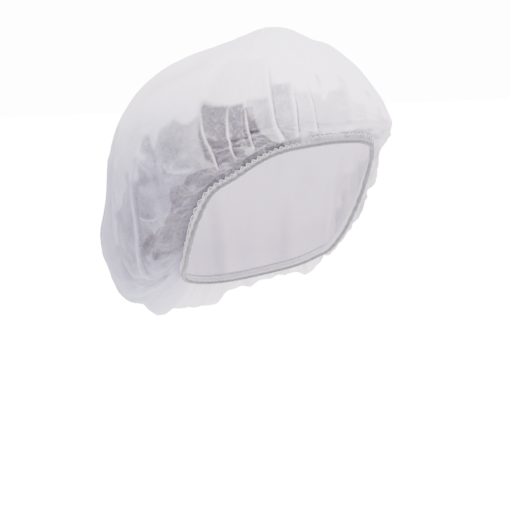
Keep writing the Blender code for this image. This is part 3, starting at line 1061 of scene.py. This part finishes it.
@dataclass(frozen=True)
class NonwovenFinish:
    """Thin spunbond cloth: matted fibres, tiny pressed bonds, and a soft light that shines through."""

    name: str
    colour: Colour = (0.87, 0.79, 0.90)
    # Painted shade colours: shaded for the patches, hollows, pleat shadows and the hem's edge, and the
    # next one for the cooler painted shade of the side.
    shaded: Colour = (0.105, 0.086, 0.120)
    side_shade_colour: Colour = (0.42, 0.395, 0.56)
    thick: Colour = (1.0, 1.0, 1.0)
    roughness: float = 0.78
    sheen: float = 0.2
    sheen_roughness: float = 0.5
    specular: float = 0.25
    see_through: float = 0.22
    cloud_pitch: float = 0.007
    crease_pitch: float = 0.0042
    crease_depth: float = 0.00025
    crease_range: Span = (0.45, 1.25)
    crease_light: float = 0.5
    cloud_range: Span = (0.30, 0.66)
    cloud_shade: float = 0.8
    patchiness: float = 0.32
    evenness: float = 0.95
    thickening: float = 0.10
    thick_range: Span = (0.35, 0.65)
    fibre_range: Span = (0.3, 0.7)
    thick_share: float = 0.5
    fibre_pitch: float = 0.0011
    bond_pitch: float = 0.0016
    bond_range: Span = (0.10, 0.45)
    bond_depth: float = 0.00008
    fibre_depth: float = 0.00010

    def material(self) -> bpy.types.Material:
        """Builds the finish.

        Colour is the clean cloth, with painted side shade where the attribute side is high, and
        painted shade towards the shaded colour where the attribute close is high. White creases
        cross the painted shade and, where the attribute slack is high, they stand up as bump.

        Returns:
            The material.
        """
        tree = ShaderTree(bpy.data.materials.new(self.name))
        place = tree.place()
        clouds = tree.noise(place, self.cloud_pitch, detail=4.0, roughness=0.6)
        fibres = tree.noise(place, self.fibre_pitch, detail=3.0, roughness=0.7)
        ridges = tree.creases(place, self.crease_pitch)
        patchy = clouds.above(*self.cloud_range) * self.cloud_shade
        patchy = patchy - ridges.above(*self.crease_range) * self.crease_light
        # How strong the painted shade is, broken by mottled clouds and lighter creases.
        close = (tree.painted("close") * (patchy * self.patchiness + self.evenness)).clamped()
        # Painted side shade, then the painted shade.
        colour = tree.mix(tree.painted("side"), self.colour, self.side_shade_colour)
        colour = tree.mix(close, colour, self.shaded)
        thick = clouds.above(*self.thick_range) * self.thick_share
        thick = thick + fibres.above(*self.fibre_range) * self.thick_share
        colour = tree.mix(thick * self.thickening, colour, self.thick)
        values = {"Vector": place, "Scale": 1.0 / self.bond_pitch}
        bonds = tree.out(tree.node("ShaderNodeTexVoronoi", {}, values), "Distance")
        bonds = bonds.above(*self.bond_range)
        relief = bonds * self.bond_depth + fibres * self.fibre_depth
        relief = relief + ridges * tree.painted("slack") * self.crease_depth
        normal = tree.bump(relief, 1.0)
        cloth = tree.principled(colour, self.roughness, {
            "Normal": normal, "Sheen Weight": self.sheen, "Sheen Roughness": self.sheen_roughness,
            "Specular IOR Level": self.specular})
        glow = tree.node("ShaderNodeBsdfTranslucent", {}, {"Color": colour, "Normal": normal})
        both = {0: self.see_through, 1: cloth, 2: tree.out(glow, 0)}
        return tree.finish(tree.out(tree.node("ShaderNodeMixShader", {}, both), 0))


@dataclass(frozen=True)
class ThreadFinish:
    """White sewing thread, twisted from fine fibres."""

    name: str
    colour: Colour = (0.93, 0.92, 0.93)
    shaded: Colour = (0.70, 0.68, 0.72)
    roughness: float = 0.6
    twist_pitch: float = 0.0009
    twist_depth: float = 0.00008

    def material(self) -> bpy.types.Material:
        """Builds the finish: slanting bands of twist along the thread.

        Returns:
            The material.
        """
        tree = ShaderTree(bpy.data.materials.new(self.name))
        values = {"Scale": 1.0 / self.twist_pitch, "Distortion": 0.6, "Detail": 1.0}
        twist = tree.waves("DIAGONAL", values)
        colour = tree.mix(twist, self.shaded, self.colour)
        normal = tree.bump(twist, self.twist_depth)
        return tree.finish(tree.principled(colour, self.roughness, {"Normal": normal}))


@dataclass(frozen=True)
class ElasticFinish:
    """Flat covered elastic: ribs along its length and fine knit across them."""

    name: str
    colour: Colour = (0.84, 0.83, 0.85)
    shaded: Colour = (0.58, 0.56, 0.60)
    roughness: float = 0.65
    rib_pitch: float = 0.0010
    knit_pitch: float = 0.0007
    rib_share: float = 0.7
    knit_share: float = 0.3
    relief_depth: float = 0.00015
    waves_in_scale: float = 3.2

    def material(self) -> bpy.types.Material:
        """Builds the finish: ribs along the strip and a finer knit across it.

        Returns:
            The material.
        """
        tree = ShaderTree(bpy.data.materials.new(self.name))
        ribs = tree.waves("Y", {"Scale": 1.0 / self.rib_pitch / self.waves_in_scale, "Distortion": 0.3})
        knit = tree.waves("X", {"Scale": 1.0 / self.knit_pitch / self.waves_in_scale, "Distortion": 0.8})
        relief = ribs * self.rib_share + knit * self.knit_share
        colour = tree.mix(relief, self.shaded, self.colour)
        normal = tree.bump(relief, self.relief_depth)
        return tree.finish(tree.principled(colour, self.roughness, {"Normal": normal}))


@dataclass
class Crown:
    """The bag: one sheet of nonwoven cloth from the hem's seam up to the middle of the crown."""

    form: CapForm
    columns: int = 704
    lower_rows: int = 100
    middle_rows: int = 30
    upper_rows: int = 20
    halved_rise: float = 0.55
    quartered_rise: float = 0.82
    row_crowding: float = 1.15
    overlap: float = 0.0010
    stand_off: float = 0.00035
    flat_diameter: float = 0.48
    # Painted side shade, and the painted shade and highlight of the hollows, crests and pleats:
    side_turns: Edges = (34.0, 60.0, 125.0, 170.0)
    side_shade_rises: Span = (0.35, 0.75)
    valley_shade: float = 0.3
    valley_rise: float = 0.05
    crumple_shade: float = 0.35
    crumple_level: float = 0.1
    fan_shade: float = 0.5
    deepest: float = 0.6
    crest_highlight: float = 0.45
    crest_range: Span = (0.15, 0.40)
    pleat_shade: float = 0.9

    def rings(self) -> list[tuple[Array, Array]]:
        """Rings of points from the seam up, each with half as many points after a change.

        Returns:
            The turns and the rises of each ring.
        """
        turns = self.form.column_turns(self.columns)
        lower = self.halved_rise * (np.arange(self.lower_rows + 1) / self.lower_rows) ** self.row_crowding
        middle = np.linspace(self.halved_rise, self.quartered_rise, self.middle_rows + 1)[1:]
        upper = np.linspace(self.quartered_rise, 1.0, self.upper_rows + 1)[1:-1]
        rings = [(turns, np.full(len(turns), rise)) for rise in lower]
        rings += [(turns[::2], np.full(len(turns) // 2, rise)) for rise in middle]
        rings += [(turns[::4], np.full(len(turns) // 4, rise)) for rise in upper]
        return rings

    def join(self, sizes: list[int]) -> list[Array]:
        """Faces between rings of those sizes: quads between equal rings, threes where one halves.

        Args:
            sizes: points in each ring. They are numbered one ring after the other, with the
                crown's middle last.

        Returns:
            The quads and the triangles, a row of point numbers for each.
        """
        starts = np.concatenate([[0], np.cumsum(sizes)])
        quads = []
        threes = []
        for k, (size, above) in enumerate(zip(sizes[:-1], sizes[1:])):
            lower = starts[k] + np.arange(size)
            upper = starts[k + 1] + np.arange(above)
            if size == above:
                quads.append(np.stack([np.roll(lower, -1), lower, upper, np.roll(upper, -1)], axis=-1))
            else:
                first, middle, last = lower[::2], lower[1::2], np.roll(lower, -2)[::2]
                there = np.roll(upper, -1)
                threes.append(np.stack([middle, first, upper], axis=-1))
                threes.append(np.stack([middle, upper, there], axis=-1))
                threes.append(np.stack([last, middle, there], axis=-1))
        rim = starts[-2] + np.arange(sizes[-1])
        threes.append(np.stack([np.roll(rim, -1), rim, np.full(len(rim), starts[-1])], axis=-1))
        return [np.concatenate(quads), np.concatenate(threes)]

    def tucked(self, turns: Array) -> Array:
        """A ring of points a little below the seam, on the outside of the hem.

        Args:
            turns: degrees round the cap.

        Returns:
            A point for each.
        """
        edge, outward, strip = self.form.hem_frame(turns)
        lift = (self.stand_off + self.form.pucker(turns))[:, None]
        return edge + strip * (self.form.cover(turns) - self.overlap)[:, None] + outward * lift

    def build(self, material: bpy.types.Material) -> bpy.types.Object:
        """The sheet as a mesh, with its place on the flat cloth as UV map.

        On the flat round of cloth a point lies at its own turn and 1 - rise of the radius out.

        Args:
            material: the cloth's finish.

        Returns:
            The new object.
        """
        rings = self.rings()
        turn = np.concatenate([r[0] for r in rings])
        rise = np.concatenate([r[1] for r in rings])
        points = self.form.cloth(turn, rise)
        lift = self.stand_off * (1.0 - smooth_step(0.0, self.form.free_rise, rise))
        points += self.form.hem_frame(turn)[1] * lift[:, None]
        below = self.tucked(rings[0][0])
        middle = self.form.cloth(0.0, 1.0)[None]
        turn = np.concatenate([rings[0][0], turn, [0.0]])
        rise = np.concatenate([np.zeros(self.columns), rise, [1.0]])
        points = np.concatenate([below, points, middle])
        faces = self.join([self.columns] + [len(r[0]) for r in rings])
        radius = self.flat_diameter / 2.0 * (1.0 - rise)
        angle = np.radians(turn)
        uv = np.stack([radius * np.sin(angle), radius * np.cos(angle)], axis=-1)
        crown = new_piece("crown_cloth", points, faces, material, uv)
        self.shade(crown, turn, rise)
        return crown

    def shade(self, crown: bpy.types.Object, turn: Array, rise: Array) -> None:
        """Keeps what the finish reads: painted shade, how slack the cloth is, and painted side shade.

        Painted shade darkens the patches, the hollows of the gathers and crumples and the cloth
        beside each pleat, while the crests of crumples and pleats stay white as painted highlight.

        Args:
            crown: the piece.
            turn: degrees round the cap, for each point.
            rise: 0 at the seam, 1 at the middle of the crown.
        """
        form = self.form
        smooth = form.bag(turn, rise)
        shading = form.fold_relief(smooth, form.outward(turn, rise))[2]
        # Painted shade in the hollows of the hem's puckers, just above the seam.
        valley = (0.5 - 0.5 * form.pucker(turn) / form.pucker_depth).clip(0.0, 1.0)
        valley *= self.valley_shade * (1.0 - smooth_step(0.0, self.valley_rise, rise))
        slack = form.slackness(turn, rise, smooth)
        crumples = form.crumples(turn, rise)
        # Painted shade in the hollows of the crumples and of the fine gathers.
        hollow = self.crumple_shade * (self.crumple_level - crumples).clip(0.0, self.deepest) * slack
        hollow += self.fan_shade * (-form.fan(turn, rise)).clip(0.0, self.deepest)
        close = np.maximum(form.shade_patches(turn, rise, smooth), valley) + hollow
        # Painted highlight on the crumples' crests, then the folds' painted highlight and shade.
        close *= 1.0 - self.crest_highlight * smooth_step(*self.crest_range, crumples) * slack
        close = np.maximum(close * (1.0 + np.minimum(shading, 0.0)), self.pleat_shade * shading)
        # Painted side shade on the -X side, fading out up the bag.
        side = plateau(self.side_turns, turn) * (1.0 - smooth_step(*self.side_shade_rises, rise))
        paint(crown, "close", close.clip(0.0, 1.0))
        paint(crown, "slack", slack)
        paint(crown, "side", side)


@dataclass
class Hem:
    """The edge of the sheet, folded inwards over the elastic and gathered."""

    form: CapForm
    columns: int = 832
    wall: float = 0.00045
    slot: float = 0.0021
    flap: float = 0.0040
    bulge: float = 0.00045
    groove: float = 0.00040
    groove_width: float = 0.0009
    below_cover: float = 0.0007
    # Height up the strip of the painted shadow along its lower edge.
    elastic_shade: float = 0.0028
    fold_steps: int = 7
    side_steps: int = 9
    flap_steps: int = 4
    bulge_end: float = 0.8
    flap_share: float = 0.9
    flap_lag: float = 1.3
    flap_wander: float = 0.0003
    flap_pitch: float = 0.03
    scallop_share: float = 0.25
    scallop_lag: float = 0.8
    # Painted shade of the hem, apart from slack: how the shadow along the lower edge fades and how dark
    # it is, the least shade, the shade in the puckers' hollows and along the stitches, and the side
    # shade.
    edge_shadow_start: float = 0.7
    edge_shadow_strength: float = 0.95
    least_shade: float = 0.06
    valley_shade: float = 0.10
    seam_shade: float = 0.40
    seam_width: float = 0.0014
    slack: float = 0.3
    side_shade_share: float = 0.4
    side_turns: Span = (35.0, 75.0)

    def stitch_up(self, turn: Array) -> Array:
        """How far up the hem the stitches run, just below where the bag starts."""
        return self.form.cover(turn) - self.below_cover

    def profile(self) -> tuple[Array, Array]:
        """The line across the folded strip.

        The outer side bulges by the sine of its height; the fold is a half circle, and the same
        line comes back one wall's thickness inside it.

        Returns:
            Places as (outward, up), and how far each lies towards the flap, from 0 to 1.
        """
        radius = self.slot / 2.0 + self.wall
        up = np.linspace(self.form.hem_width, radius, self.side_steps)
        share = (up - radius) / (self.form.hem_width - radius)
        out = self.bulge * np.sin(np.pi * share.clip(0.0, self.bulge_end) / self.bulge_end)
        angle = np.linspace(0.0, np.pi, self.fold_steps + 2)[1:-1]
        fold = np.stack([radius * (np.cos(angle) - 1.0), radius * (1.0 - np.sin(angle))], axis=-1)
        inner = radius - self.wall
        back_out = inner * (np.cos(angle) - 1.0) - self.wall
        back = np.stack([back_out, radius - inner * np.sin(angle)], axis=-1)
        outer_side = np.stack([out, up], axis=-1)
        outer_back = np.stack([out - self.wall, up], axis=-1)[::-1]
        flap_up = np.linspace(radius, self.flap, self.flap_steps)
        flap_out = np.full(self.flap_steps, -2.0 * radius)
        flap_side = np.stack([flap_out, flap_up], axis=-1)
        flap_back = np.stack([flap_out + self.wall, flap_up], axis=-1)[::-1]
        line = np.concatenate([outer_side, fold, flap_side, flap_back, back[::-1], outer_back])
        inwards = (-line[:, 0] / (2.0 * radius)).clip(0.0, 1.0)
        return line, inwards

    def seam(self, up: Array, turns: Array, width: float) -> Array:
        """How near a place is to the line of stitches: exp(-(distance / width)^2).

        Args:
            up: heights on the strip, a row for each.
            turns: degrees round the cap.
            width: where it has fallen to a third.

        Returns:
            From 0 to 1, heights by turns.
        """
        return np.exp(-(((up - self.stitch_up(turns)) / width) ** 2))

    def build(self, material: bpy.types.Material) -> bpy.types.Object:
        """The profile carried round the opening, gathered more on the flap than outside.

        Args:
            material: the folded cloth's finish.

        Returns:
            The new object.
        """
        form = self.form
        turns = form.column_turns(self.columns)
        edge, outward, strip = form.hem_frame(turns)
        line, inwards = self.profile()
        high = line[:, 1:]
        outer = form.pucker(turns)
        flap = self.flap_share * form.pucker(turns + self.flap_lag)
        flap += self.flap_wander * lattice_noise(form.circle(turns), self.flap_pitch, 17)
        scallop = self.scallop_share * form.pucker(turns + self.scallop_lag)
        pulled = self.groove * self.seam(high, turns, self.groove_width)
        lift = line[:, :1] - pulled + outer * (1.0 - inwards[:, None]) + flap * inwards[:, None]
        up = high + scallop * np.ones((len(line), 1))
        points = edge + outward * lift[..., None] + strip * up[..., None]
        run = np.concatenate([[0.0], np.cumsum(np.linalg.norm(np.diff(line, axis=0), axis=-1))])
        along = np.linspace(0.0, form.loop_length(), len(turns))
        hem = round_piece("hem_cloth", points, along, run, material, flipped=True)
        # Painted shadow along the lower edge of the hem.
        shade = 1.0 - smooth_step(self.edge_shadow_start * self.elastic_shade, self.elastic_shade, high)
        # Painted shade in the hollows of the puckers and along the line of stitches.
        valley = (0.5 - 0.5 * outer / form.pucker_depth).clip(0.0, 1.0)
        gathered = self.valley_shade * valley + self.seam_shade * self.seam(high, turns, self.seam_width)
        paint(hem, "close", np.maximum(self.edge_shadow_strength * shade, self.least_shade + gathered))
        paint(hem, "slack", np.full(points.shape[:2], self.slack))
        # Painted side shade from the -X side round to the back.
        side = self.side_shade_share * smooth_step(*self.side_turns, turns)
        paint(hem, "side", np.broadcast_to(side, points.shape[:2]))
        return hem


@dataclass
class Stitching:
    """One zigzag thread that closes the hem just under its seam."""

    form: CapForm
    hem: Hem
    swing: float = 0.0010
    thickness: float = 0.00060
    stand_off: float = 0.00060
    bite: float = 0.00030
    steps: int = 6
    sides: int = 6
    crowding: float = 0.15
    arch_power: float = 0.7

    def path(self) -> Array:
        """A triangle wave round the hem, arched between the points where it bites into the cloth.

        Returns:
            Its points, all the way round.
        """
        count = self.form.pucker_count
        legs = np.arange(2 * count * self.steps) / self.steps
        even = legs * 180.0 / count
        crowded = np.sin(np.radians(even - self.form.crowded_turn))
        turns = even - np.degrees(self.crowding * crowded)
        swing = self.swing * (1.0 - 2.0 * np.abs(legs % 2.0 - 1.0))
        arch = np.abs(np.sin(np.pi * legs)) ** self.arch_power
        edge, outward, strip = self.form.hem_frame(turns)
        out = self.stand_off + self.form.pucker(turns) - self.bite * (1.0 - arch)
        return edge + strip * (self.hem.stitch_up(turns) + swing)[:, None] + outward * out[:, None]

    def build(self, material: bpy.types.Material) -> bpy.types.Object:
        """A round tube along the path: a circle in the plane square to it at each point.

        Args:
            material: the thread's finish.

        Returns:
            The new object.
        """
        path = self.path()
        along = unit(np.roll(path, -1, axis=0) - np.roll(path, 1, axis=0))
        away = unit(path * np.array([1.0, 1.0, 0.0]))
        side = unit(np.cross(along, away))
        out = np.cross(side, along)
        angle = np.arange(self.sides) * 2.0 * np.pi / self.sides
        ring = side * np.cos(angle)[:, None, None] + out * np.sin(angle)[:, None, None]
        points = path + ring * self.thickness / 2.0
        run = np.cumsum(np.linalg.norm(path - np.roll(path, 1, axis=0), axis=-1))
        return round_piece("hem_stitches", points, run, angle * self.thickness / 2.0, material)


@dataclass
class Elastic:
    """The flat elastic in the fold, crimped a little by the gathers."""

    form: CapForm
    hem: Hem
    width: float = 0.005
    thickness: float = 0.0008
    lift: float = 0.0015
    columns: int = 832
    corners: int = 16
    squareness: float = 0.35
    crimp: float = 0.5

    def build(self, material: bpy.types.Material) -> bpy.types.Object:
        """A flat strip with rounded sides carried round the opening inside the fold.

        Across it the outline is sign(cos a) |cos a|^p by sign(sin a) |sin a|^p, where p is its
        squareness.

        Args:
            material: the elastic's finish.

        Returns:
            The new object.
        """
        turns = self.form.column_turns(self.columns)
        edge, outward, strip = self.form.hem_frame(turns)
        middle = -(self.hem.wall + self.hem.slot / 2.0)
        angle = np.linspace(0.0, 2.0 * np.pi, self.corners, endpoint=False)
        flat, tall = np.cos(angle), np.sin(angle)
        out = middle + self.thickness / 2.0 * np.sign(flat) * np.abs(flat) ** self.squareness
        up = self.lift + self.width / 2.0 * (1.0 + np.sign(tall) * np.abs(tall) ** self.squareness)
        crimp = self.crimp * self.form.pucker(turns)
        points = edge + outward * (out[:, None] + crimp)[..., None] + strip * up[:, None, None]
        along = np.linspace(0.0, self.form.loop_length(), len(turns))
        return round_piece("elastic_strip", points, along, up, material)


@dataclass
class Studio:
    """Plain pale floor, soft lights and the camera at the photograph's angle."""

    floor_height: float = -0.40
    floor_size: float = 12.0
    floor_colour: Colour = (0.95, 0.95, 0.95)
    mottled_colour: Colour = (0.90, 0.90, 0.91)
    mottle_pitch: float = 0.4
    mottle_share: float = 0.04
    floor_roughness: float = 0.9
    floor_glow: float = 12.0
    world_colour: Colour = (1.0, 1.0, 1.0)
    world_strength: float = 0.5
    backdrop_strength: float = 14.0
    sun_turn: Triple = (18.0, 3.0, 0.0)
    sun_strength: float = 15.5
    sun_softness: float = 9.0
    camera_place: Triple = (-0.31315, -0.59968, 0.13562)
    camera_turn: Triple = (76.6, 0.0, -27.0)
    focal_pixels: float = 900.0
    image_pixels: float = 510.0
    sensor_width: float = 36.0

    def build_floor(self) -> bpy.types.Object:
        """A large square floor.

        Returns:
            The new object.
        """
        tree = ShaderTree(bpy.data.materials.new("pale_floor"))
        tone = tree.noise(tree.place(), self.mottle_pitch)
        colour = tree.mix(tone * self.mottle_share, self.floor_colour, self.mottled_colour)
        seen = tree.out(tree.node("ShaderNodeLightPath", {}, {}), "Is Camera Ray")
        plain = tree.node("ShaderNodeBsdfPrincipled", {}, {
            "Base Color": colour, "Roughness": self.floor_roughness,
            "Emission Color": (1.0, 1.0, 1.0, 1.0), "Emission Strength": seen * self.floor_glow})
        material = tree.finish(tree.out(plain, 0))
        half = self.floor_size / 2.0
        corners = np.array([(-half, -half), (half, -half), (half, half), (-half, half)])
        points = np.column_stack([corners, np.full(4, self.floor_height)])
        floor = new_piece("floor", points, [np.array([[0, 1, 2, 3]])], material)
        return floor

    def light(self) -> None:
        """A white world that is brighter as a backdrop, and one soft lamp from above."""
        world = bpy.data.worlds.new("studio")
        tree = ShaderTree(world)
        rays = tree.out(tree.node("ShaderNodeLightPath", {}, {}), "Is Camera Ray")
        strength = tree.node("ShaderNodeMapRange", {}, {
            "Value": rays, "To Min": self.world_strength, "To Max": self.backdrop_strength})
        sky = tree.node("ShaderNodeBackground", {}, {
            "Color": (*self.world_colour, 1.0), "Strength": tree.out(strength, "Result")})
        tree.node("ShaderNodeOutputWorld", {}, {"Surface": tree.out(sky, 0)})
        bpy.context.scene.world = world
        data = bpy.data.lights.new("key_light", "SUN")
        data.energy = self.sun_strength
        data.angle = np.radians(self.sun_softness)
        lamp = bpy.data.objects.new("key_light", data)
        lamp.rotation_euler = np.radians(self.sun_turn)
        bpy.context.scene.collection.objects.link(lamp)

    def aim_camera(self) -> None:
        """The camera where the photograph was taken from."""
        data = bpy.data.cameras.new("camera")
        data.sensor_width = self.sensor_width
        data.lens = self.focal_pixels / self.image_pixels * self.sensor_width
        camera = bpy.data.objects.new("camera", data)
        camera.location = self.camera_place
        camera.rotation_euler = np.radians(self.camera_turn)
        bpy.context.scene.collection.objects.link(camera)
        bpy.context.scene.camera = camera


def place_piece(piece: bpy.types.Object, node: str | None = None) -> None:
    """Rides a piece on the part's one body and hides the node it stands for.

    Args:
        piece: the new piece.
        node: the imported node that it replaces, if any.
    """
    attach(piece, "root")
    if node is not None:
        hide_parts(node)
    LOG.info("%s: %d points, %d faces", piece.name, len(piece.data.vertices), len(piece.data.polygons))


def main() -> None:
    """Builds the cap and its stage."""
    logging.basicConfig(level=logging.INFO, format="%(message)s")
    form = CapForm()
    cloth = NonwovenFinish("nonwoven_cloth").material()
    # The folded hem's nearly black shaded colour is the painted shadow along its lower edge.
    folded = NonwovenFinish("folded_nonwoven", shaded=(0.07, 0.068, 0.078), see_through=0.10,
                            patchiness=0.1).material()
    crown_maker = Crown(form)
    hem_maker = Hem(form)
    crown = crown_maker.build(cloth)
    hem = hem_maker.build(folded)
    stitches = Stitching(form, hem_maker).build(ThreadFinish("white_thread").material())
    elastic = Elastic(form, hem_maker).build(ElasticFinish("covered_elastic").material())
    place_piece(crown, "crown")
    place_piece(hem, "hem_casing")
    place_piece(stitches)
    place_piece(elastic, "elastic_band")
    studio = Studio()
    studio.build_floor()
    studio.light()
    studio.aim_camera()


if __name__ == "__main__":
    main()
